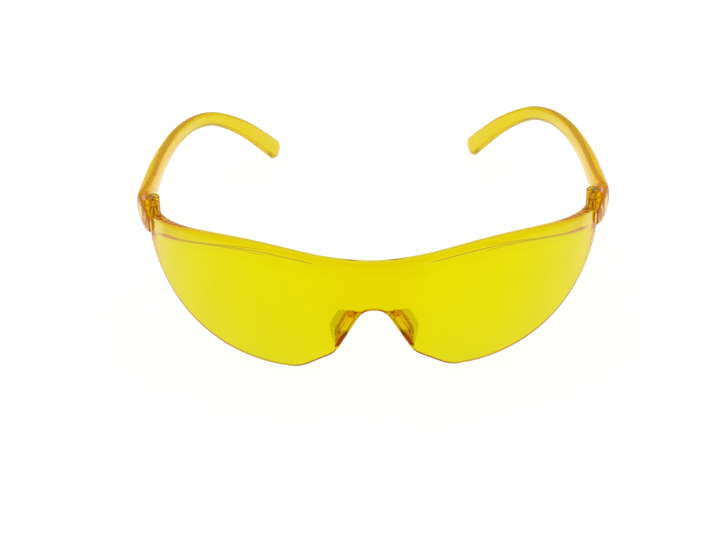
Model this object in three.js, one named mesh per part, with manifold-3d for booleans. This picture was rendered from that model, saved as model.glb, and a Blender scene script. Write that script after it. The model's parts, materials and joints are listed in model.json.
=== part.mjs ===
// Wraparound safety glasses, standing open on a table: a one-piece moulded polycarbonate
// shield that is lens, brow rim, nose flanges and hinge lugs in one, two temples that fold
// behind it, and the two slotted screws that they turn on.
// Millimetres. +X is the wearer's left, +Y runs back from the lens to the ears, +Z is up.
import * as THREE from "three";
import { mergeVertices } from "three/addons/utils/BufferGeometryUtils.js";
import Module from "manifold-3d";

const wasm = await Module();
wasm.setup();

// ---- Driving dimensions ----

// The shield's outer face: half an ellipse in plan, and gently curved from top to bottom.
const SHIELD = {
  halfWidth: 70.4,
  wrapDepth: 58,
  uprightRadius: 90,
  midHeight: 18,
  thickness: 2.2,
  bridgeThickness: 3.1,
  edge: 0.5, // rounding of every rim
};

// Heights of the shield's upper rim: a dip over the bridge, a peak over each eye, and a fall
// to the hinge lug.
const UPPER_RIM = { bridge: 35.3, peak: 38.6, peakAt: 36, end: 32.6 };

// The lower rim, as x and z of a nose notch and a swept lower edge. The edge dips a little
// below the surface that the glasses stand on, and is trimmed flat there.
const NOTCH = {
  top: [0, 20.6],
  arch: [3.4, 20.6, 3.9, 19.1, 5.9, 15.7],
  side: [10.2, 8.3],
  turn: [11.8, 5.5, 13.4, 5.2, 16.6, 3.2],
};
const LOWER_EDGE = {
  lobe: [20, 1.1, 21.6, -0.3, 25.4, -0.3],
  sweep: [47.8, -0.3, 62.4, 11.2, 67.7, 23.8],
};

// The brow: a raised band along the front face, with a sloping step at its foot, and a swell
// on the inner face that thickens the rim.
const BROW = {
  ease: 0.8, // rounding of the two top edges
  bandHeight: 2.3, // from the rim to the middle of the step
  bandHeightOutboard: 4.6,
  bandWidens: [22, 80],
  bandRise: 0.6,
  bandStarts: [6, 20],
  bandEnds: [61, 66.5],
  step: 0.5, // half the step's height
  swell: 1.1,
  swellAtHinge: 1.7,
  swellGrows: [55, 66],
  swellHeight: 6,
};

// The nose flanges, which run back from the sides of the notch and splay outwards.
const FLANGE = {
  thickness: 1.8,
  reach: 2.9, // beyond the fillet on its far side
  fillet: 0.7,
  splay: THREE.MathUtils.degToRad(30),
  rises: [3, 4.8], // distances from the middle between which it grows to full reach
  fades: [6.7, 12], // and between which it dies away into the lower rim
};

// The hinge on the wearer's left: lug barrel with a slot, tongue and screw, on one axis.
const HINGE = {
  x: 67.2,
  y: 47.6,
  bottom: 24.4,
  top: 36,
  barrel: 2.2,
  slotBottom: 28,
  slotTop: 33.2,
  slotRadius: 2.9,
  bore: 0.8,
  counterbore: 1.15,
  counterboreDepth: 1,
  play: 0.3, // between the tongue and each ear
  webWidth: 2.6,
  webReach: 7,
  webFront: 32.6, // height of the web's top where it meets the brow
  webLean: THREE.MathUtils.degToRad(-11),
};

const SCREW = { head: 0.95, headHeight: 0.7, shank: 0.7, slotWidth: 0.4, slotDepth: 0.4 };

// The temple's sections from its front end to its tip: centre x, y, z, width and height.
const TEMPLE = [
  [67.9, 41, 28.2, 0.5, 3],
  [68.3, 42, 28.8, 0.7, 5.4],
  [68.95, 43.3, 29.6, 0.95, 7.2],
  [69.75, 45, 30.5, 1.25, 8.3],
  [70.3, 46.6, 31, 1.6, 8.8],
  [70.8, 48.6, 31.4, 2.2, 9.2],
  [71, 50.6, 31.6, 3.1, 9.4],
  [70.7, 53, 31.7, 4.2, 9.2],
  [70.4, 57, 31.8, 4.7, 8.9],
  [70.1, 64, 32, 4.8, 8.2],
  [69.6, 76, 32.4, 4.6, 7.2],
  [68.4, 90, 32.3, 4.2, 6.4],
  [66, 106, 31.8, 3.8, 5.7],
  [61.9, 120.5, 30.4, 3.5, 5.1],
  [56.9, 131, 27.7, 3.3, 5],
  [51.6, 139.3, 22.9, 3.1, 5.4],
  [46, 147.2, 16.4, 3, 6.1],
  [41.2, 154.8, 9.1, 3, 6.8],
  [37.5, 160.9, 3, 2.8, 7.1],
  [36.7, 162.3, 1.5, 1.8, 5.6],
];
const TEMPLE_RINGS = 46;
const TEMPLE_SIDES = 16;
const TEMPLE_SQUARENESS = 2.4; // 2 is an ellipse; more is a squarer section

const COLUMNS_PER_SIDE = 52;

// ---- Materials ----

const amber = new THREE.MeshStandardMaterial({
  color: 0xe2dc04,
  roughness: 0.08,
  metalness: 0,
  transparent: true,
  opacity: 0.6,
});
const templeAmber = amber.clone();
templeAmber.color.set(0xe0b800);
const steel = new THREE.MeshStandardMaterial({ color: 0x55524c, roughness: 0.35, metalness: 1 });

// ---- Solids ----

// A geometry as a manifold-3d solid.
function solidOf(geometry) {
  const bare = geometry.clone().deleteAttribute("normal").deleteAttribute("uv");
  const merged = mergeVertices(bare, 1e-4);
  return new wasm.Manifold(
    new wasm.Mesh({
      numProp: 3,
      vertProperties: merged.attributes.position.array,
      triVerts: new Uint32Array(merged.index.array),
    }),
  );
}

// A manifold-3d solid as a geometry.
function geometryOf(solid) {
  const { vertProperties, triVerts } = solid.getMesh();
  const geometry = new THREE.BufferGeometry();
  geometry.setAttribute("position", new THREE.BufferAttribute(vertProperties, 3));
  geometry.setIndex(new THREE.BufferAttribute(triVerts, 1));
  geometry.computeVertexNormals();
  return geometry;
}

// A closed skin over a row of rings of points: a capped cylinder with each of its rings
// moved to one of these. Every ring holds the same number of points.
function skin(rings) {
  const sides = rings[0].length;
  const steps = rings.length - 1;
  const geometry = new THREE.CylinderGeometry(1, 1, 1, sides, steps);
  const position = geometry.attributes.position;
  const middles = rings.map((ring) =>
    ring.reduce((sum, p) => sum.add(p), new THREE.Vector3()).divideScalar(sides),
  );
  for (let i = 0; i < position.count; i++) {
    const x = position.getX(i);
    const z = position.getZ(i);
    const row = Math.round((0.5 - position.getY(i)) * steps);
    const turn = Math.atan2(x, z) / (2 * Math.PI);
    const side = (Math.round(turn * sides) + sides) % sides;
    const point = x * x + z * z < 0.25 ? middles[row] : rings[row][side];
    position.setXYZ(i, point.x, point.y, point.z);
  }
  return geometry;
}

// A shape in plan, extruded upwards between two heights with its edges eased.
function upright(shape, bottom, top, ease) {
  return new THREE.ExtrudeGeometry(shape, {
    depth: top - bottom - 2 * ease,
    bevelThickness: ease,
    bevelSize: ease,
    bevelOffset: -ease,
    bevelSegments: 2,
    curveSegments: 16,
  }).translate(0, 0, bottom + ease);
}

// A round plug on the hinge axis, for cutting bores.
function plug(radius, bottom, top) {
  return new THREE.CylinderGeometry(radius, radius, top - bottom, 24)
    .rotateX(Math.PI / 2)
    .translate(HINGE.x, HINGE.y, (top + bottom) / 2);
}

const mirrored = (solid) => solid.mirror([1, 0, 0]);

// A solid without whatever reaches below the surface that the glasses stand on.
function trimmed(solid) {
  const depth = 5;
  const ground = new THREE.BoxGeometry(200, 400, depth).translate(0, 80, -depth / 2);
  return solid.subtract(solidOf(ground));
}

// ---- Shield ----

const { smoothstep, lerp } = THREE.MathUtils;

// A point at distance depth under the shield's outer face, at x and z on that face.
function onShield(x, z, depth) {
  const across = x / SHIELD.halfWidth;
  const cosine = Math.sqrt(1 - across * across);
  const rise = z - SHIELD.midHeight;
  const point = new THREE.Vector3(
    x,
    SHIELD.wrapDepth * (1 - cosine) + (rise * rise) / (2 * SHIELD.uprightRadius),
    z,
  );
  const slopeX = ((SHIELD.wrapDepth / SHIELD.halfWidth) * across) / cosine;
  const inward = new THREE.Vector3(-slopeX, 1, -rise / SHIELD.uprightRadius).normalize();
  return point.addScaledVector(inward, depth);
}

const thicknessAt = (x) =>
  lerp(SHIELD.bridgeThickness, SHIELD.thickness, smoothstep(Math.abs(x), 6, 18));

// The height of the upper rim at x.
function upperRimHeight(x) {
  const { bridge, peak, peakAt, end } = UPPER_RIM;
  if (x < peakAt) return lerp(bridge, peak, smoothstep(x, 0, peakAt));
  return lerp(peak, end, ((x - peakAt) / (LOWER_EDGE.sweep[4] - peakAt)) ** 2);
}

const lowerRim = new THREE.Path()
  .moveTo(...NOTCH.top)
  .bezierCurveTo(...NOTCH.arch)
  .lineTo(...NOTCH.side)
  .bezierCurveTo(...NOTCH.turn)
  .bezierCurveTo(...LOWER_EDGE.lobe)
  .bezierCurveTo(...LOWER_EDGE.sweep);

// The rim drawn back into a nose flange, as ten points: out along its nose side, round its
// tip and home along its far side to the inner face, where the last point lies.
function flangePoints(corner, tangent) {
  const { edge } = SHIELD;
  const height = FLANGE.thickness;
  const back = new THREE.Vector3(Math.sin(FLANGE.splay), Math.cos(FLANGE.splay), 0);
  const rimward = new THREE.Vector3(tangent.x, 0, tangent.y);
  const away = new THREE.Vector3().crossVectors(rimward, back).normalize();
  const onFlange = (distance, lift) =>
    corner.clone().addScaledVector(back, distance).addScaledVector(away, lift);

  // The distance at which the far side meets the shield's inner face.
  let home = SHIELD.thickness;
  let meeting;
  for (let i = 0; i < 5; i++) {
    meeting = onFlange(home, height);
    home += (onShield(meeting.x, meeting.z, thicknessAt(meeting.x)).y - meeting.y) / back.y;
  }
  const base = home + FLANGE.fillet;
  const tip = base + FLANGE.reach;
  const rootX = meeting.x - tangent.y * FLANGE.fillet;
  const rootZ = meeting.z + tangent.x * FLANGE.fillet;
  const points = [
    onFlange(edge, 0),
    onFlange(thicknessAt(corner.x), 0),
    onFlange((thicknessAt(corner.x) + tip) / 2, 0),
    onFlange(tip - edge, 0),
    onFlange(tip, edge),
    onFlange(tip, height - edge),
    onFlange(tip - edge, height),
    onFlange((base + tip) / 2, height),
    onFlange(base, height),
    onShield(rootX, rootZ, thicknessAt(rootX)),
  ];
  return { points, rootX, rootZ };
}

// One upright section through the shield, as a ring of points that runs down the outer
// face, round the lower rim or nose flange, up the inner face and over the brow.
// along is 0 at the bridge and 1 at the hinge.
function shieldRing(along) {
  const { edge } = SHIELD;
  const foot = lowerRim.getPointAt(along);
  const tangent = lowerRim.getTangentAt(along);
  const [x, low] = [foot.x, foot.y];
  const high = upperRimHeight(x);
  const thickness = thicknessAt(x);
  const bandEnding = 1 - smoothstep(x, ...BROW.bandEnds);
  const band = BROW.bandRise * smoothstep(x, ...BROW.bandStarts) * bandEnding;
  const swell = lerp(BROW.swell, BROW.swellAtHinge, smoothstep(x, ...BROW.swellGrows));

  const widening = smoothstep(x, ...BROW.bandWidens);
  const bandFoot = high - lerp(BROW.bandHeight, BROW.bandHeightOutboard, widening);
  const outer = [
    onShield(x, high, BROW.ease - band),
    onShield(x, high - BROW.ease, -band),
    onShield(x, bandFoot + BROW.step, -band),
    onShield(x, bandFoot - BROW.step, 0),
  ];
  for (let i = 1; i <= 4; i++) {
    outer.push(onShield(x, lerp(bandFoot - BROW.step, low + edge, i / 4), 0));
  }

  // The lower rim, plain or part of the way to a flange.
  let [startX, startZ] = [x, low + edge + 0.7];
  let rim = [];
  for (let i = 0; i < 8; i++) rim.push(onShield(x, low, lerp(edge, thickness - edge, i / 7)));
  rim.push(onShield(x, low + edge, thickness), onShield(x, startZ, thickness));
  const presence = smoothstep(x, ...FLANGE.rises) * (1 - smoothstep(x, ...FLANGE.fades));
  if (presence > 0) {
    const { points, rootX, rootZ } = flangePoints(onShield(x, low, 0), tangent);
    rim = rim.map((point, i) => point.lerp(points[i], presence));
    startX = lerp(startX, rootX, presence);
    startZ = lerp(startZ, rootZ, presence);
  }

  const swellFoot = high - BROW.swellHeight;
  const inner = [];
  for (let i = 1; i <= 5; i++) {
    const upX = lerp(startX, x, i / 5);
    inner.push(onShield(upX, lerp(startZ, swellFoot, i / 5), thicknessAt(upX)));
  }
  const lip = thickness + swell;
  inner.push(
    onShield(x, high - BROW.swellHeight / 2, thickness + swell / 2),
    onShield(x, high - BROW.swellHeight / 4, lip),
    onShield(x, high - BROW.ease, lip),
    onShield(x, high, lip - BROW.ease),
  );
  return [...outer, ...rim, ...inner];
}

// The shield's rings from the wearer's left hinge to the right one. Rings lie closer
// together at the notch, where the rim turns most.
function shieldRings() {
  const left = [];
  for (let i = 0; i <= COLUMNS_PER_SIDE; i++) {
    left.push(shieldRing((i / COLUMNS_PER_SIDE) ** 1.25));
  }
  const across = (ring) => ring.map((p) => new THREE.Vector3(-p.x, p.y, p.z));
  return [...left.slice(1).reverse(), left[0], ...left.slice(1).map(across)];
}

// The hinge lug on the wearer's left: an upright barrel, joined to the shield's end by a web
// whose top slopes down to the brow.
function hingeLug() {
  const { x, y, bottom, top, barrel, webWidth, webReach, webFront, webLean } = HINGE;
  const round = new THREE.Shape().absarc(x, y, barrel, 0, 2 * Math.PI, false);

  const profile = new THREE.Shape()
    .moveTo(0, bottom + 0.3)
    .lineTo(0, top - 0.2)
    .quadraticCurveTo(-webReach / 2, top - 0.2, -webReach, webFront)
    .lineTo(-webReach, bottom + 1)
    .closePath();
  const web = new THREE.ExtrudeGeometry(profile, {
    depth: webWidth - 0.6,
    bevelThickness: 0.3,
    bevelSize: 0.3,
    bevelOffset: -0.3,
    bevelSegments: 2,
    curveSegments: 10,
  });
  const sideways = new THREE.Matrix4().makeBasis(
    new THREE.Vector3(0, 1, 0),
    new THREE.Vector3(0, 0, 1),
    new THREE.Vector3(1, 0, 0),
  );
  web.translate(0, 0, 0.3 - webWidth / 2).applyMatrix4(sideways).rotateZ(webLean);
  web.translate(x, y, 0);
  return solidOf(upright(round, bottom, top, 0.4)).add(solidOf(web));
}

// Everything that is cut out of the lug: the tongue's slot, the bore and the head's seat.
function lugCuts() {
  const beyond = 2;
  return solidOf(plug(HINGE.slotRadius, HINGE.slotBottom, HINGE.slotTop))
    .add(solidOf(plug(HINGE.bore, HINGE.bottom - beyond, HINGE.top + beyond)))
    .add(solidOf(plug(HINGE.counterbore, HINGE.top - HINGE.counterboreDepth, HINGE.top + beyond)));
}

function shieldSolid() {
  const lug = hingeLug();
  const cuts = lugCuts();
  const whole = solidOf(skin(shieldRings())).add(lug).add(mirrored(lug));
  return trimmed(whole.subtract(cuts).subtract(mirrored(cuts)));
}

// ---- Temples ----

// A squared-off oval of points around a centre, in the plane across the temple's run.
function templeRing(centre, run, width, height) {
  const across = new THREE.Vector3(0, 0, 1).cross(run).normalize();
  const up = new THREE.Vector3().crossVectors(run, across);
  const squared = (value) => Math.sign(value) * Math.abs(value) ** (2 / TEMPLE_SQUARENESS);
  const ring = [];
  for (let i = 0; i < TEMPLE_SIDES; i++) {
    const angle = (2 * Math.PI * (i + 0.5)) / TEMPLE_SIDES;
    ring.push(
      centre
        .clone()
        .addScaledVector(across, (squared(Math.sin(angle)) * width) / 2)
        .addScaledVector(up, (squared(Math.cos(angle)) * height) / 2),
    );
  }
  return ring;
}

function templeArm() {
  const centreline = new THREE.CatmullRomCurve3(
    TEMPLE.map(([x, y, z]) => new THREE.Vector3(x, y, z)),
  );
  const sizes = new THREE.SplineCurve(TEMPLE.map(([, , , w, h]) => new THREE.Vector2(w, h)));
  const rings = [];
  for (let i = 0; i <= TEMPLE_RINGS; i++) {
    const t = i / TEMPLE_RINGS;
    const size = sizes.getPoint(t);
    rings.push(templeRing(centreline.getPoint(t), centreline.getTangent(t), size.x, size.y));
  }
  return skin(rings);
}

// The tongue: a barrel between the lug's ears, on a web that runs out to the temple.
function templeTongue() {
  const { x, y, play } = HINGE;
  const shape = new THREE.Shape();
  shape.moveTo(70.9, 47.6);
  shape.lineTo(71.4, 53.5);
  shape.lineTo(70.2, 53.5);
  shape.absarc(x, y, HINGE.barrel, (2 / 3) * Math.PI, (5 / 3) * Math.PI, false);
  shape.closePath();
  return upright(shape, HINGE.slotBottom + play, HINGE.slotTop - play, 0.3);
}

function templeSolid() {
  const whole = solidOf(templeArm()).add(solidOf(templeTongue()));
  return trimmed(whole.subtract(solidOf(plug(HINGE.bore, HINGE.slotBottom, HINGE.slotTop))));
}

// ---- Screws ----

function screwSolid() {
  const seat = HINGE.top - HINGE.counterboreDepth + 0.1;
  const crown = seat + SCREW.headHeight;
  const foot = HINGE.bottom + 0.2;
  const profile = [
    [0, foot],
    [SCREW.shank - 0.2, foot],
    [SCREW.shank, foot + 0.3],
    [SCREW.shank, seat],
    [SCREW.head, seat],
    [SCREW.head, crown - 0.15],
    [SCREW.head - 0.15, crown],
    [0, crown],
  ].map(([r, z]) => new THREE.Vector2(r, z));
  const turned = new THREE.LatheGeometry(profile, 24).rotateX(Math.PI / 2);
  const slot = new THREE.BoxGeometry(2 * SCREW.head + 1, SCREW.slotWidth, 2 * SCREW.slotDepth);
  slot.translate(0, 0, crown);
  return solidOf(turned).subtract(solidOf(slot)).translate([HINGE.x, HINGE.y, 0]);
}

// ---- Assembly ----

const glasses = new THREE.Group();

function addPart(name, solid, material) {
  const mesh = new THREE.Mesh(geometryOf(solid), material);
  mesh.name = name;
  glasses.add(mesh);
}

addPart("lens_shield", shieldSolid(), amber);
addPart("temple_left", templeSolid(), templeAmber);
addPart("temple_right", mirrored(templeSolid()), templeAmber);
addPart("hinge_screw_left", screwSolid(), steel);
addPart("hinge_screw_right", mirrored(screwSolid()), steel);

// The origin is the middle of the footprint, on the surface that the glasses stand on.
const extent = new THREE.Box3().setFromObject(glasses, true);
glasses.position.y = -(extent.min.y + extent.max.y) / 2;

export default glasses;
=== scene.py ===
"""Wraparound safety glasses in clear amber polycarbonate, standing open on a pale table.

The shield, the temples and the hinge screws are rebuilt here as fine, smooth meshes from the
same driving dimensions as the CAD model, because clear plastic shows every facet of a coarse
one. Lengths are in millimetres until a mesh is finished, and then in metres.
"""

import json
import math

import bmesh
import bpy
from mathutils import Matrix, Vector


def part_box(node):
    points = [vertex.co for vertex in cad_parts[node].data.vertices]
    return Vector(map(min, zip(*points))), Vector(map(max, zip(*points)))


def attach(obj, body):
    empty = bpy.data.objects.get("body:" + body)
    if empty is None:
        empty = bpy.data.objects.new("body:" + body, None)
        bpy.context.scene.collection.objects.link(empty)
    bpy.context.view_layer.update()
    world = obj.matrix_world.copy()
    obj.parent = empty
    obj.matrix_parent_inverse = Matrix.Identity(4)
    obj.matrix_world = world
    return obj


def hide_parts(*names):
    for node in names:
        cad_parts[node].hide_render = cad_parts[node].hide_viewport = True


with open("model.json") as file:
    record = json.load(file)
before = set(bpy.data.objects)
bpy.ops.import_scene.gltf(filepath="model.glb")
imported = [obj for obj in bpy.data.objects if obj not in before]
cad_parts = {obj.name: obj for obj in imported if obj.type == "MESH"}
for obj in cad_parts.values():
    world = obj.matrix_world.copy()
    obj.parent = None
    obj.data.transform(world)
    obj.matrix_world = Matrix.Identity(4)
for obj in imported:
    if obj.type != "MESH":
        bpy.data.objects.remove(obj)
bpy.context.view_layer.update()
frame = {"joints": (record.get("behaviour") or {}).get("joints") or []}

MM = 0.001

# ---- Driving dimensions, as in the CAD model ----

HALF_WIDTH, WRAP_DEPTH = 70.4, 58
UPRIGHT_RADIUS, MID_HEIGHT = 90, 18
THICKNESS, BRIDGE_THICKNESS = 2.2, 3.1
EDGE = 0.5

RIM_BRIDGE, RIM_PEAK, RIM_PEAK_AT, RIM_END = 35.3, 38.6, 36, 32.6
SHIELD_END = 67.7
NOTCH_ARCH = [(0, 20.6), (3.4, 20.6), (3.9, 19.1), (5.9, 15.7)]
NOTCH_SIDE = [(5.9, 15.7), (10.2, 8.3)]
NOTCH_TURN = [(10.2, 8.3), (11.8, 5.5), (13.4, 5.2), (16.6, 3.2)]
LOBE = [(16.6, 3.2), (20, 1.1), (21.6, -0.3), (25.4, -0.3)]
SWEEP = [(25.4, -0.3), (47.8, -0.3), (62.4, 11.2), (SHIELD_END, 23.8)]

BAND_HEIGHT, BAND_HEIGHT_OUTBOARD, BAND_WIDENS = 2.3, 4.6, (22, 80)
BAND_RISE, BAND_STARTS, BAND_ENDS, BAND_STEP = 0.6, (6, 20), (61, 66.5), 0.5
TOP_EASE = 0.8
BROW_SWELL, SWELL_AT_HINGE, SWELL_GROWS, SWELL_HEIGHT = 1.1, 1.7, (55, 66), 6

FLANGE_THICKNESS, FLANGE_REACH, FLANGE_SPLAY = 1.8, 2.9, math.radians(30)
FLANGE_RISES, FLANGE_FADES = (3, 4.8), (6.7, 12)
FLANGE_FILLET = 0.7
RIM_LEAD = 0.7  # from the rim's rounded edge to where the inner face starts

HINGE_X, HINGE_Y = 67.2, 47.6
LUG_BOTTOM, LUG_TOP, BARREL = 24.4, 36, 2.2
SLOT_BOTTOM, SLOT_TOP, SLOT_RADIUS = 28, 33.2, 2.9
BORE, COUNTERBORE, COUNTERBORE_DEPTH = 0.8, 1.15, 1
BARREL_EASE, WEB_EASE, TONGUE_EASE = 0.4, 0.3, 0.3
CUT_PAST = 2  # how far a cutting plug runs past the face it opens
WEB_WIDTH, WEB_REACH, WEB_FRONT, WEB_LEAN = 2.6, 7, 32.6, math.radians(-11)
WEB_TOP, WEB_BOTTOM, WEB_FRONT_BOTTOM = LUG_TOP - 0.2, LUG_BOTTOM + 0.3, LUG_BOTTOM + 1
TONGUE_PLAY = 0.3
TONGUE_ROOT = [(70.9, 47.6), (71.4, 53.5), (70.2, 53.5)]
TONGUE_ARC = (math.radians(120), math.radians(300))

SCREW_HEAD, SCREW_HEAD_HEIGHT, SCREW_SHANK, SCREW_FOOT = 0.95, 0.7, 0.7, 0.35
SCREW_HEAD_EASE, SCREW_CROWN_EASE, SCREW_NECK = 0.06, 0.15, 0.05
SCREW_ABOVE_SEAT, SCREW_ABOVE_LUG, SCREW_POINT, SCREW_PLAIN = 0.1, 0.2, 0.25, 0.9
SCREW_SLOT_WIDTH, SCREW_SLOT_DEPTH, THREAD_PITCH, THREAD_DEPTH = 0.4, 0.4, 0.35, 0.11
THREAD_START, THREAD_RUN_OUT, SHANK_EASE = 0.3, 0.15, 0.04

# Centre x, y, z, width and height of the temple's sections, from its front end to its tip.
TEMPLE = [
    (67.9, 41, 28.2, 0.5, 3),
    (68.3, 42, 28.8, 0.7, 5.4),
    (68.95, 43.3, 29.6, 0.95, 7.2),
    (69.75, 45, 30.5, 1.25, 8.3),
    (70.3, 46.6, 31, 1.6, 8.8),
    (70.8, 48.6, 31.4, 2.2, 9.2),
    (71, 50.6, 31.6, 3.1, 9.4),
    (70.7, 53, 31.7, 4.2, 9.2),
    (70.4, 57, 31.8, 4.7, 8.9),
    (70.1, 64, 32, 4.8, 8.2),
    (69.6, 76, 32.4, 4.6, 7.2),
    (68.4, 90, 32.3, 4.2, 6.4),
    (66, 106, 31.8, 3.8, 5.7),
    (61.9, 120.5, 30.4, 3.5, 5.1),
    (56.9, 131, 27.7, 3.3, 5),
    (51.6, 139.3, 22.9, 3.1, 5.4),
    (46, 147.2, 16.4, 3, 6.1),
    (41.2, 154.8, 9.1, 3, 6.8),
    (37.5, 160.9, 3, 2.8, 7.1),
    (36.7, 162.3, 1.5, 1.8, 5.6),
]
TEMPLE_SQUARENESS = 2.4
POLISH = 0.06  # how much narrower the smooth skin is than the CAD's flat facets
CAP_REACH = 0.5  # how far a temple's end caps stand out, as a share of the end's half-width

# ---- Fineness of the meshes ----

SHIELD_COLUMNS, RIM_CROWDING = 130, 1.25  # on each side of the bridge, closer together near it
FACE_STEPS, RIM_STEPS, RIM_ROUNDINGS = 6, 7, 2
HOME_CORRECTIONS = 5
TEMPLE_RINGS, TEMPLE_SIDES, CAP_STEPS = 150, 40, 5
SCREW_SIDES, STEPS_PER_TURN, CROWN_STEPS = 40, 10, 5
BEND_STEPS, TONGUE_STEPS = 12, 32

# The hinge on the wearer's left gives the place of these dimensions in the frame.
hinge = Vector(frame["joints"][0]["pos_m"])
ORIGIN_Y = hinge.y / MM - HINGE_Y


# ---- Small tools ----


def lerp(a, b, t):
    return a + (b - a) * t


def smoothstep(x, low, high):
    t = min(max((x - low) / (high - low), 0), 1)
    return t * t * (3 - 2 * t)


def mesh_object(name, bm):
    """An object from a bmesh in millimetres, moved to its place in the frame."""
    bmesh.ops.recalc_face_normals(bm, faces=bm.faces)
    bmesh.ops.transform(bm, matrix=Matrix.Translation((0, ORIGIN_Y, 0)), verts=bm.verts)
    bmesh.ops.scale(bm, vec=(MM, MM, MM), verts=bm.verts)
    mesh = bpy.data.meshes.new(name)
    bm.to_mesh(mesh)
    bm.free()
    made = bpy.data.objects.new(name, mesh)
    bpy.context.scene.collection.objects.link(made)
    return made


def skin(rings):
    """A closed skin over a row of rings that all hold the same number of points."""
    bm = bmesh.new()
    rows = [[bm.verts.new(p) for p in ring] for ring in rings]
    sides = len(rows[0])
    for a, b in zip(rows, rows[1:]):
        for i in range(sides):
            j = (i + 1) % sides
            bm.faces.new((a[i], a[j], b[j], b[i]))
    for row in (rows[0], rows[-1]):
        middle = bm.verts.new(sum((v.co for v in row), Vector()) / sides)
        for i in range(sides):
            bm.faces.new((middle, row[i], row[(i + 1) % sides]))
    return bm


def prism(outline, low, high, ease):
    """A flat outline drawn upwards between two heights, with rounded top and bottom edges."""
    bm = bmesh.new()
    base = bm.faces.new([bm.verts.new((x, y, low)) for x, y in outline])
    grown = bmesh.ops.extrude_face_region(bm, geom=[base])["geom"]
    tops = [v for v in grown if isinstance(v, bmesh.types.BMVert)]
    bmesh.ops.translate(bm, vec=(0, 0, high - low), verts=tops)
    ends = [e for e in bm.edges if abs(e.verts[0].co.z - e.verts[1].co.z) < 1e-6]
    bmesh.ops.bevel(
        bm, geom=ends, offset=ease, segments=4, profile=0.5, affect="EDGES", clamp_overlap=True
    )
    return bm


def disc(x, y, radius, sides=48):
    turn = 2 * math.pi / sides
    return [(x + radius * math.cos(i * turn), y + radius * math.sin(i * turn)) for i in range(sides)]


def plug(radius, low, high, sides=64):
    """A plain round plug on the left hinge's axis, for cutting."""
    bm = bmesh.new()
    bmesh.ops.create_cone(
        bm,
        cap_ends=True,
        segments=sides,
        radius1=radius,
        radius2=radius,
        depth=high - low,
        matrix=Matrix.Translation((HINGE_X, HINGE_Y, (low + high) / 2)),
    )
    return bm


def mirror(bm):
    """A copy of a bmesh on the other side of the middle plane."""
    other = bm.copy()
    bmesh.ops.scale(other, vec=(-1, 1, 1), verts=other.verts)
    bmesh.ops.reverse_faces(other, faces=other.faces)
    return other


def on_side(bm, right):
    """The bmesh as it is for the wearer's left, or its mirror image for the right."""
    return mirror(bm) if right else bm


def combine(base, steps):
    """Joins pieces to, or cuts them from, a base object, in order. The pieces are used up."""
    for operation, tool in steps:
        modifier = base.modifiers.new("cut", "BOOLEAN")
        modifier.operation = operation
        modifier.solver = "EXACT"
        modifier.object = tool
    depsgraph = bpy.context.evaluated_depsgraph_get()
    result = bpy.data.meshes.new_from_object(base.evaluated_get(depsgraph))
    base.modifiers.clear()
    base.data = result
    for _, tool in steps:
        bpy.data.objects.remove(tool)
    return base


def smooth(obj, sharp_above=math.radians(38)):
    """Smooth shading that keeps true creases, weighted so that broad faces stay undisturbed."""
    for polygon in obj.data.polygons:
        polygon.use_smooth = True
    obj.data.set_sharp_from_angle(angle=sharp_above)
    weighted = obj.modifiers.new("weighted_normals", "WEIGHTED_NORMAL")
    weighted.keep_sharp = True
    weighted.weight = 60
    return obj


# ---- Shield ----


def on_shield(x, z, depth):
    """A point at a depth under the shield's outer face, at x and z on that face."""
    across = x / HALF_WIDTH
    cosine = math.sqrt(1 - across * across)
    rise = z - MID_HEIGHT
    point = Vector((x, WRAP_DEPTH * (1 - cosine) + rise * rise / (2 * UPRIGHT_RADIUS), z))
    slope = WRAP_DEPTH / HALF_WIDTH * across / cosine
    inward = Vector((-slope, 1, -rise / UPRIGHT_RADIUS)).normalized()
    return point + inward * depth


def thickness_at(x):
    return lerp(BRIDGE_THICKNESS, THICKNESS, smoothstep(abs(x), 6, 18))


def upper_rim(x):
    if x < RIM_PEAK_AT:
        return lerp(RIM_BRIDGE, RIM_PEAK, smoothstep(x, 0, RIM_PEAK_AT))
    return lerp(RIM_PEAK, RIM_END, ((x - RIM_PEAK_AT) / (SHIELD_END - RIM_PEAK_AT)) ** 2)


def bezier(points, t):
    """A point on a straight or cubic Bezier stretch."""
    while len(points) > 1:
        points = [lerp(Vector(a), Vector(b), t) for a, b in zip(points, points[1:])]
    return points[0]


def lower_rim(count, crowding):
    """Points and directions along the lower rim, closer together near the bridge."""
    stretches = (NOTCH_ARCH, NOTCH_SIDE, NOTCH_TURN, LOBE, SWEEP)
    fine = [bezier(s, i / 200) for s in stretches for i in range(200)] + [Vector(SWEEP[-1])]
    lengths = [0]
    for a, b in zip(fine, fine[1:]):
        lengths.append(lengths[-1] + (b - a).length)
    feet = []
    k = 0
    for i in range(count + 1):
        wanted = lengths[-1] * (i / count) ** crowding
        while k < len(fine) - 2 and lengths[k + 1] < wanted:
            k += 1
        step = lengths[k + 1] - lengths[k]
        direction = (fine[min(k + 3, len(fine) - 1)] - fine[max(k - 2, 0)]).normalized()
        feet.append((lerp(fine[k], fine[k + 1], (wanted - lengths[k]) / step), direction))
    return feet


def rounded(ring, times):
    """A ring with its corners cut and cut again, which rounds them."""
    for _ in range(times):
        cut = []
        for a, b in zip(ring, ring[1:] + ring[:1]):
            cut.append(lerp(a, b, 0.25))
            cut.append(lerp(a, b, 0.75))
        ring = cut
    return ring


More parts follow.
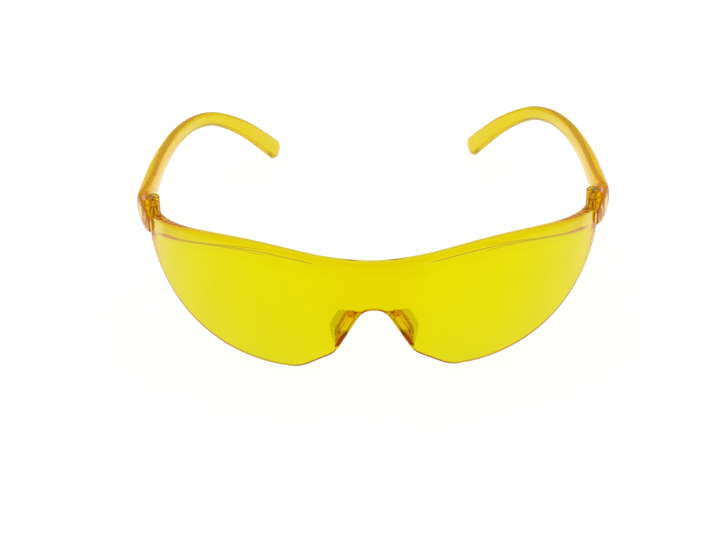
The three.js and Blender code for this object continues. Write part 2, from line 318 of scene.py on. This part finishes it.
def flange(corner, direction, thickness):
    """The rim drawn back into a flange: out along its nose side, round its tip and home along
    its far side to the inner face. The last point's x and z are where the inner face starts."""
    back = Vector((math.sin(FLANGE_SPLAY), math.cos(FLANGE_SPLAY), 0))
    away = Vector((direction.x, 0, direction.y)).cross(back).normalized()
    # Where the far side meets the curved inner face is found by repeated correction.
    home = thickness
    for _ in range(HOME_CORRECTIONS):
        meeting = corner + back * home + away * FLANGE_THICKNESS
        home += (on_shield(meeting.x, meeting.z, thickness_at(meeting.x)).y - meeting.y) / back.y
    tip = home + FLANGE_FILLET + FLANGE_REACH
    points = [
        corner + back * distance + away * height
        for distance, height in (
            (EDGE, 0),
            (thickness, 0),
            ((thickness + tip) / 2, 0),
            (tip - EDGE, 0),
            (tip, EDGE),
            (tip, FLANGE_THICKNESS - EDGE),
            (tip - EDGE, FLANGE_THICKNESS),
            ((home + FLANGE_FILLET + tip) / 2, FLANGE_THICKNESS),
            (home + FLANGE_FILLET, FLANGE_THICKNESS),
        )
    ]
    root = (meeting.x - direction.y * FLANGE_FILLET, meeting.z + direction.x * FLANGE_FILLET)
    return points + [on_shield(*root, thickness_at(root[0]))], root


def shield_ring(foot, direction):
    """One upright section: down the outer face, round the lower rim or the nose flange, up the
    inner face and over the thickened brow."""
    x, low = foot
    high = upper_rim(x)
    thickness = thickness_at(x)
    band = BAND_RISE * smoothstep(x, *BAND_STARTS) * (1 - smoothstep(x, *BAND_ENDS))
    swell = lerp(BROW_SWELL, SWELL_AT_HINGE, smoothstep(x, *SWELL_GROWS))
    band_foot = high - lerp(BAND_HEIGHT, BAND_HEIGHT_OUTBOARD, smoothstep(x, *BAND_WIDENS))
    outer = [
        on_shield(x, high, TOP_EASE - band),
        on_shield(x, high - TOP_EASE, -band),
        on_shield(x, band_foot + BAND_STEP, -band),
        on_shield(x, band_foot - BAND_STEP, 0),
    ]
    for i in range(1, FACE_STEPS + 1):
        outer.append(on_shield(x, lerp(band_foot - BAND_STEP, low + EDGE, i / FACE_STEPS), 0))

    start_x, start_z = x, low + EDGE + RIM_LEAD
    rim = [
        on_shield(x, low, lerp(EDGE, thickness - EDGE, i / RIM_STEPS)) for i in range(RIM_STEPS + 1)
    ]
    rim += [on_shield(x, low + EDGE, thickness), on_shield(x, start_z, thickness)]
    presence = smoothstep(x, *FLANGE_RISES) * (1 - smoothstep(x, *FLANGE_FADES))
    if presence > 0:
        flanged, root = flange(on_shield(x, low, 0), direction, thickness)
        rim = [lerp(p, f, presence) for p, f in zip(rim, flanged)]
        start_x, start_z = lerp(start_x, root[0], presence), lerp(start_z, root[1], presence)

    swell_foot = high - SWELL_HEIGHT
    inner = []
    for i in range(1, FACE_STEPS + 1):
        up_x = lerp(start_x, x, i / FACE_STEPS)
        up_z = lerp(start_z, swell_foot, i / FACE_STEPS)
        inner.append(on_shield(up_x, up_z, thickness_at(up_x)))
    lip = thickness + swell
    inner += [
        on_shield(x, high - SWELL_HEIGHT / 2, thickness + swell / 2),
        on_shield(x, high - SWELL_HEIGHT / 4, lip),
        on_shield(x, high - TOP_EASE, lip),
        on_shield(x, high, lip - TOP_EASE),
    ]
    return rounded(outer + rim + inner, RIM_ROUNDINGS)


def standing(rings):
    """Rings flattened where they would reach below the surface that the glasses stand on."""
    return [[Vector((p.x, p.y, max(p.z, 0))) for p in ring] for ring in rings]


def shield_skin():
    """The whole shield without its lugs: the left half's sections and their mirror images."""
    left = [shield_ring(*foot) for foot in lower_rim(SHIELD_COLUMNS, RIM_CROWDING)]
    right = [[Vector((-p.x, p.y, p.z)) for p in ring] for ring in left[1:]]
    return skin(standing(left[:0:-1] + [left[0]] + right))


def hinge_web():
    """The web that joins the lug's barrel to the end of the shield."""
    curve = [(0, WEB_TOP), (-WEB_REACH / 2, WEB_TOP), (-WEB_REACH, WEB_FRONT)]
    bend = [tuple(bezier(curve, i / BEND_STEPS)) for i in range(BEND_STEPS + 1)]
    outline = [(0, WEB_BOTTOM)] + bend + [(-WEB_REACH, WEB_FRONT_BOTTOM)]
    bm = prism(outline, -WEB_WIDTH / 2, WEB_WIDTH / 2, WEB_EASE)
    sideways = Matrix(((0, 0, 1), (1, 0, 0), (0, 1, 0))).to_4x4()
    at_hinge = Matrix.Translation((HINGE_X, HINGE_Y, 0)) @ Matrix.Rotation(WEB_LEAN, 4, "Z")
    bmesh.ops.transform(bm, matrix=at_hinge @ sideways, verts=bm.verts)
    return bm


def shield():
    """The shield with a forked, bored and counterbored lug at each end."""
    barrel = prism(disc(HINGE_X, HINGE_Y, BARREL), LUG_BOTTOM, LUG_TOP, BARREL_EASE)
    added = [barrel, hinge_web()]
    removed = [
        plug(SLOT_RADIUS, SLOT_BOTTOM, SLOT_TOP),
        plug(BORE, LUG_BOTTOM - CUT_PAST, LUG_TOP + CUT_PAST),
        plug(COUNTERBORE, LUG_TOP - COUNTERBORE_DEPTH, LUG_TOP + CUT_PAST),
    ]
    steps = []
    for operation, pieces in (("UNION", added), ("DIFFERENCE", removed)):
        for bm in pieces:
            other = mirror(bm)
            steps.append((operation, mesh_object("tool", bm)))
            steps.append((operation, mesh_object("tool", other)))
    return smooth(combine(mesh_object("shield", shield_skin()), steps))


# ---- Temples ----


def through(points, t):
    """A point at t, from 0 to 1, on a smooth curve through points of any dimension."""
    place = t * (len(points) - 1)
    i = min(int(place), len(points) - 2)
    t = place - i
    p1, p2 = Vector(points[i]), Vector(points[i + 1])
    p0 = Vector(points[i - 1]) if i else p1 * 2 - p2
    p3 = Vector(points[i + 2]) if i + 2 < len(points) else p2 * 2 - p1
    gaps = [max(math.sqrt((b - a).length), 1e-4) for a, b in ((p0, p1), (p1, p2), (p2, p3))]
    start = (p1 - p0) / gaps[0] - (p2 - p0) / (gaps[0] + gaps[1]) + (p2 - p1) / gaps[1]
    end = (p2 - p1) / gaps[1] - (p3 - p1) / (gaps[1] + gaps[2]) + (p3 - p2) / gaps[2]
    start, end = start * gaps[1], end * gaps[1]
    return (
        p1
        + start * t
        + (p2 * 3 - p1 * 3 - start * 2 - end) * t**2
        + (p1 * 2 - p2 * 2 + start + end) * t**3
    )


def squared(value):
    """A sine or cosine drawn out towards the corners of a square."""
    return math.copysign(abs(value) ** (2 / TEMPLE_SQUARENESS), value)


def temple_arm():
    """The temple on the wearer's left, as squared-off ovals along its centreline."""
    centres = [row[:3] for row in TEMPLE]
    sizes = [row[3:] for row in TEMPLE]
    rings = []
    for i in range(TEMPLE_RINGS + 1):
        t = i / TEMPLE_RINGS
        centre = through(centres, t)
        run = (through(centres, min(t + 1e-3, 1)) - through(centres, max(t - 1e-3, 0))).normalized()
        width, height = through(sizes, t) - Vector((POLISH, POLISH))
        across = Vector((0, 0, 1)).cross(run).normalized()
        up = run.cross(across)
        ring = []
        for k in range(TEMPLE_SIDES):
            angle = 2 * math.pi * (k + 0.5) / TEMPLE_SIDES
            sideways = across * squared(math.sin(angle)) * width / 2
            ring.append(centre + sideways + up * squared(math.cos(angle)) * height / 2)
        rings.append(ring)
    return rings


def domed_ends(rings):
    """Rings with a rounded cap drawn out of the first and the last one."""

    def cap(ring, beyond):
        middle = sum(ring, Vector()) / len(ring)
        out = (middle - sum(beyond, Vector()) / len(beyond)).normalized()
        reach = min((p - middle).length for p in ring) * CAP_REACH
        made = []
        for i in range(1, CAP_STEPS):
            angle = math.pi / 2 * i / CAP_STEPS
            shrink, rise = math.cos(angle), out * reach * math.sin(angle)
            made.append([middle + (p - middle) * shrink + rise for p in ring])
        return made

    return cap(rings[0], rings[1])[::-1] + rings + cap(rings[-1], rings[-2])


def temple_tongue():
    """The tongue between the lug's ears: a barrel on a web that runs out to the temple."""
    outline = list(TONGUE_ROOT)
    for i in range(TONGUE_STEPS + 1):
        angle = lerp(*TONGUE_ARC, i / TONGUE_STEPS)
        outline.append((HINGE_X + BARREL * math.cos(angle), HINGE_Y + BARREL * math.sin(angle)))
    return prism(outline, SLOT_BOTTOM + TONGUE_PLAY, SLOT_TOP - TONGUE_PLAY, TONGUE_EASE)


def temple(name, right):
    """A temple with its bored tongue, on the wearer's left or right."""
    arm = on_side(skin(standing(domed_ends(temple_arm()))), right)
    steps = [
        ("UNION", mesh_object("tool", on_side(temple_tongue(), right))),
        ("DIFFERENCE", mesh_object("tool", on_side(plug(BORE, SLOT_BOTTOM, SLOT_TOP), right))),
    ]
    return smooth(combine(mesh_object(name, arm), steps))


# ---- Screws ----


def screw(name, right):
    """A slotted cheese-head screw with a fine helical thread."""
    seat = LUG_TOP - COUNTERBORE_DEPTH + SCREW_ABOVE_SEAT
    crown = seat + SCREW_HEAD_HEIGHT
    foot = LUG_BOTTOM + SCREW_ABOVE_LUG
    root, plain = SCREW_SHANK - THREAD_DEPTH, SCREW_SHANK - SHANK_EASE

    def ring(radius, height):
        outline = disc(0, 0, radius, SCREW_SIDES)
        return [Vector((HINGE_X + x, HINGE_Y + y, height)) for x, y in outline]

    rings = [ring(SCREW_FOOT, foot), ring(root, foot + SCREW_POINT)]
    thread_top = seat - SCREW_PLAIN
    steps = int((thread_top - foot - THREAD_START) / THREAD_PITCH * STEPS_PER_TURN)
    for i in range(steps):
        height = foot + THREAD_START + i * THREAD_PITCH / STEPS_PER_TURN
        row = []
        for k, (x, y) in enumerate(disc(0, 0, 1, SCREW_SIDES)):
            phase = (i / STEPS_PER_TURN - k / SCREW_SIDES) % 1
            radius = SCREW_SHANK - THREAD_DEPTH * abs(2 * phase - 1)
            row.append(Vector((HINGE_X + x * radius, HINGE_Y + y * radius, height)))
        rings.append(row)
    rings += [ring(root, thread_top), ring(plain, thread_top + THREAD_RUN_OUT)]
    rings += [ring(plain, seat - SCREW_HEAD_EASE), ring(SCREW_SHANK + SCREW_NECK, seat)]
    rings += [ring(SCREW_HEAD - SCREW_HEAD_EASE, seat), ring(SCREW_HEAD, seat + SCREW_HEAD_EASE)]
    for i in range(CROWN_STEPS + 1):
        angle = math.pi / 2 * i / CROWN_STEPS
        radius = SCREW_HEAD - SCREW_CROWN_EASE * (1 - math.cos(angle))
        rings.append(ring(radius, crown - SCREW_CROWN_EASE * (1 - math.sin(angle))))

    slot = bmesh.new()
    bmesh.ops.create_cube(slot, size=1)
    size = (2 * SCREW_HEAD + 1, SCREW_SLOT_WIDTH, 2 * SCREW_SLOT_DEPTH)
    bmesh.ops.scale(slot, vec=size, verts=slot.verts)
    bmesh.ops.translate(slot, vec=(HINGE_X, HINGE_Y, crown), verts=slot.verts)
    body = mesh_object(name, on_side(skin(rings), right))
    cutter = mesh_object("tool", on_side(slot, right))
    return smooth(combine(body, [("DIFFERENCE", cutter)]))


# ---- Materials ----

POLYCARBONATE_IOR = 1.585
BODY_DENSITY = 620  # per metre, for the tint that deepens with thickness
GOLD = (0.84, 0.64, 0, 1)
GOLD_STARTS, GOLD_FULL = 0.063, 0.067  # metres from the middle plane
SCUFF_DULLING = 0.08


def node_tree(name):
    """A new material with its nodes, its links and its main shader."""
    material = bpy.data.materials.new(name)
    material.use_nodes = True
    nodes = material.node_tree.nodes
    links = material.node_tree.links
    return material, nodes, links, nodes["Principled BSDF"]


def add(nodes, kind, **inputs):
    """A shader node with some of its inputs set by name."""
    node = nodes.new(kind)
    for name, value in inputs.items():
        node.inputs[name.replace("_", " ")].default_value = value
    return node


def ramp(nodes, links, source, stops):
    """A colour ramp through the stops, each a place and a colour."""
    node = nodes.new("ShaderNodeValToRGB")
    elements = node.color_ramp.elements
    while len(elements) < len(stops):
        elements.new(0.5)
    for element, (place, colour) in zip(elements, stops):
        element.position = place
        element.color = colour
    links.new(source, node.inputs["Fac"])
    return node


def grey(value):
    return (value, value, value, 1)


def polycarbonate(name, tint, clear, body_colour, roughness, seed):
    """Clear tinted plastic: a faint flow pattern in the tint, soft moulding waves, and hairline
    scuffs that roughen it here and there. The body colour deepens with thickness."""
    material, nodes, links, shader = node_tree(name)
    shader.inputs["Transmission Weight"].default_value = 1
    shader.inputs["IOR"].default_value = POLYCARBONATE_IOR
    shader.inputs["Specular Tint"].default_value = (1, 0.95, 0, 1)

    coords = nodes.new("ShaderNodeTexCoord")
    flow = add(nodes, "ShaderNodeTexNoise", Scale=38.0, Detail=3.0, Roughness=0.5, Distortion=1.2)
    flow.noise_dimensions = "4D"
    flow.inputs["W"].default_value = seed
    links.new(coords.outputs["Object"], flow.inputs["Vector"])
    colours = ramp(nodes, links, flow.outputs["Fac"], [(0.3, tint), (0.7, clear)])

    # Towards the hinges the moulding is thick and its tint turns to gold.
    axes = nodes.new("ShaderNodeSeparateXYZ")
    links.new(coords.outputs["Object"], axes.inputs["Vector"])
    outwards = nodes.new("ShaderNodeMath")
    outwards.operation = "ABSOLUTE"
    links.new(axes.outputs["X"], outwards.inputs[0])
    golden = add(nodes, "ShaderNodeMapRange", From_Min=GOLD_STARTS, From_Max=GOLD_FULL)
    links.new(outwards.outputs["Value"], golden.inputs["Value"])
    blend = nodes.new("ShaderNodeMix")
    blend.data_type = "RGBA"
    blend.inputs["B"].default_value = GOLD
    links.new(golden.outputs["Result"], blend.inputs["Factor"])
    links.new(colours.outputs["Color"], blend.inputs["A"])
    links.new(blend.outputs["Result"], shader.inputs["Base Color"])

    scuffs = add(nodes, "ShaderNodeTexNoise", Scale=420.0, Detail=6.0, Roughness=0.75)
    links.new(coords.outputs["Object"], scuffs.inputs["Vector"])
    duller = [(0.45, grey(roughness)), (0.8, grey(roughness + SCUFF_DULLING))]
    dull = ramp(nodes, links, scuffs.outputs["Fac"], duller)
    links.new(dull.outputs["Color"], shader.inputs["Roughness"])

    waves = add(nodes, "ShaderNodeTexNoise", Scale=90.0, Detail=1.0, Roughness=0.4)
    links.new(coords.outputs["Object"], waves.inputs["Vector"])
    bump = add(nodes, "ShaderNodeBump", Strength=0.05, Distance=0.0006)
    links.new(waves.outputs["Fac"], bump.inputs["Height"])
    links.new(bump.outputs["Normal"], shader.inputs["Normal"])

    body = nodes.new("ShaderNodeVolumeAbsorption")
    body.inputs["Color"].default_value = body_colour
    body.inputs["Density"].default_value = BODY_DENSITY
    links.new(body.outputs["Volume"], nodes["Material Output"].inputs["Volume"])
    return material


def turned_steel(name):
    """Screw steel with fine turning rings and cloudy patches of oxide that vary its gloss."""
    material, nodes, links, shader = node_tree(name)
    shader.inputs["Metallic"].default_value = 1
    coords = nodes.new("ShaderNodeTexCoord")
    oxide = add(nodes, "ShaderNodeTexNoise", Scale=1500.0, Detail=5.0, Roughness=0.6)
    links.new(coords.outputs["Object"], oxide.inputs["Vector"])
    tones = [(0.35, (0.42, 0.4, 0.37, 1)), (0.7, (0.68, 0.66, 0.62, 1))]
    colours = ramp(nodes, links, oxide.outputs["Fac"], tones)
    links.new(colours.outputs["Color"], shader.inputs["Base Color"])
    rough = ramp(nodes, links, oxide.outputs["Fac"], [(0.3, grey(0.25)), (0.8, grey(0.5))])
    links.new(rough.outputs["Color"], shader.inputs["Roughness"])
    rings = add(nodes, "ShaderNodeTexWave", Scale=6000.0, Distortion=2.0, Detail=2.0)
    rings.bands_direction = "Z"
    links.new(coords.outputs["Object"], rings.inputs["Vector"])
    bump = add(nodes, "ShaderNodeBump", Strength=0.15, Distance=0.00002)
    links.new(rings.outputs["Fac"], bump.inputs["Height"])
    links.new(bump.outputs["Normal"], shader.inputs["Normal"])
    return material


def table_white(name):
    """A pale table top with a faint grain, bright enough to be its own backdrop."""
    material, nodes, links, shader = node_tree(name)
    coords = nodes.new("ShaderNodeTexCoord")
    grain = add(nodes, "ShaderNodeTexNoise", Scale=60.0, Detail=3.0)
    links.new(coords.outputs["Object"], grain.inputs["Vector"])
    colours = ramp(nodes, links, grain.outputs["Fac"], [(0.3, grey(0.24)), (0.7, grey(0.26))])
    links.new(colours.outputs["Color"], shader.inputs["Base Color"])
    shader.inputs["Emission Color"].default_value = (0.95, 0.97, 1, 1)
    shader.inputs["Emission Strength"].default_value = 0.9
    shader.inputs["Roughness"].default_value = 0.9
    shader.inputs["Specular IOR Level"].default_value = 0.1
    return material


# ---- Pieces ----

SHIELD_PLASTIC = polycarbonate(
    "shield_amber",
    tint=(0.755, 0.79, 0, 1),
    clear=(0.785, 0.82, 0, 1),
    body_colour=(0.987, 0.9, 0, 1),
    roughness=0.012,
    seed=2.0,
)
TEMPLE_PLASTIC = polycarbonate(
    "temple_amber",
    tint=(0.74, 0.62, 0, 1),
    clear=(0.78, 0.66, 0, 1),
    body_colour=(0.998, 0.97, 0, 1),
    roughness=0.12,
    seed=5.0,
)
STEEL = turned_steel("screw_steel")


def place(piece, material, body, node, slot):
    """Gives a piece its material and its body, and hides the CAD node it stands for. The slot is not
    used.
    """
    piece.data.materials.clear()
    piece.data.materials.append(material)
    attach(piece, body)
    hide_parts(node)


place(shield(), SHIELD_PLASTIC, "front", "lens_shield", "shield")
for side in ("left", "right"):
    is_right = side == "right"
    arm = temple(f"temple_arm_{side}", is_right)
    place(arm, TEMPLE_PLASTIC, f"temple_{side}", f"temple_{side}", "temples")
    pin = screw(f"slotted_screw_{side}", is_right)
    place(pin, STEEL, "front", f"hinge_screw_{side}", "screws")


# ---- Studio ----

TABLE_SIZE = 14
LIGHT_BOUNCES = 48
ROOM_COLOUR, ROOM_STRENGTH = (1, 0.86, 0.4, 1), 0.7
BACKDROP_COLOUR, BACKDROP_STRENGTH = (1, 1, 1, 1), 1.0

scene = bpy.context.scene
scene.view_settings.view_transform = "Standard"
# Light is guided a long way inside clear plastic before it leaves.
scene.cycles.max_bounces = LIGHT_BOUNCES
scene.cycles.glossy_bounces = LIGHT_BOUNCES
scene.cycles.transmission_bounces = LIGHT_BOUNCES

bpy.ops.mesh.primitive_plane_add(size=TABLE_SIZE, location=(0, 0, 0))
floor = bpy.context.object
floor.name = "table"
floor.data.materials.append(table_white("table_white"))

world = bpy.data.worlds.new("studio")
scene.world = world
world.use_nodes = True
# The room lights the plastic warmly, and is itself seen as a plain pale backdrop.
world_nodes, world_links = world.node_tree.nodes, world.node_tree.links
room = world_nodes["Background"]
room.inputs["Color"].default_value = ROOM_COLOUR
room.inputs["Strength"].default_value = ROOM_STRENGTH
backdrop = add(
    world_nodes, "ShaderNodeBackground", Color=BACKDROP_COLOUR, Strength=BACKDROP_STRENGTH
)
seen = world_nodes.new("ShaderNodeLightPath")
either = world_nodes.new("ShaderNodeMixShader")
world_links.new(seen.outputs["Is Camera Ray"], either.inputs["Fac"])
world_links.new(room.outputs["Background"], either.inputs[1])
world_links.new(backdrop.outputs["Background"], either.inputs[2])
world_links.new(either.outputs["Shader"], world_nodes["World Output"].inputs["Surface"])


def softbox(name, where, size, power, aim):
    """A soft rectangular lamp that faces the point it is aimed at."""
    light = bpy.data.lights.new(name, "AREA")
    light.shape = "RECTANGLE"
    light.size, light.size_y = size
    light.energy = power
    lamp = bpy.data.objects.new(name, light)
    scene.collection.objects.link(lamp)
    lamp.location = where
    lamp.rotation_euler = (Vector(aim) - Vector(where)).to_track_quat("-Z", "Y").to_euler()


softbox("overhead", where=(0, 0.1, 1.0), size=(1.2, 1.2), power=2, aim=(0, 0, 0))

# The view is from in front and from above, with the glasses a little above the picture's middle.
FRONT = Vector((0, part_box("lens_shield")[0].y, 0))
FOCAL_LENGTH, NEAREST_SEEN = 79.6, 0.01
VIEW_DOWN, VIEW_DISTANCE, VIEW_TURN = math.radians(31), 0.46, math.radians(0.4)
AIM_UP, AIM_SIDE, ROLL = math.radians(3.64), math.radians(-0.47), math.radians(1.1)

camera = bpy.data.cameras.new("camera")
camera.lens = FOCAL_LENGTH
camera.clip_start = NEAREST_SEEN
camera_object = bpy.data.objects.new("camera", camera)
scene.collection.objects.link(camera_object)
scene.camera = camera_object

turned = Matrix.Rotation(VIEW_TURN, 3, "Z")
forward = turned @ Vector((0, math.cos(VIEW_DOWN), -math.sin(VIEW_DOWN)))
camera_object.location = FRONT - forward * VIEW_DISTANCE
right = turned @ Vector((1, 0, 0))
up = right.cross(forward)
look = (forward + up * math.tan(AIM_UP) + right * math.tan(AIM_SIDE)).normalized()
level_right = look.cross(up).normalized()
level_up = level_right.cross(look)
rolled_up = level_up * math.cos(ROLL) + level_right * math.sin(ROLL)
rolled_right = look.cross(rolled_up).normalized()
basis = Matrix((rolled_right, rolled_up, -look)).transposed()
camera_object.rotation_euler = basis.to_euler()
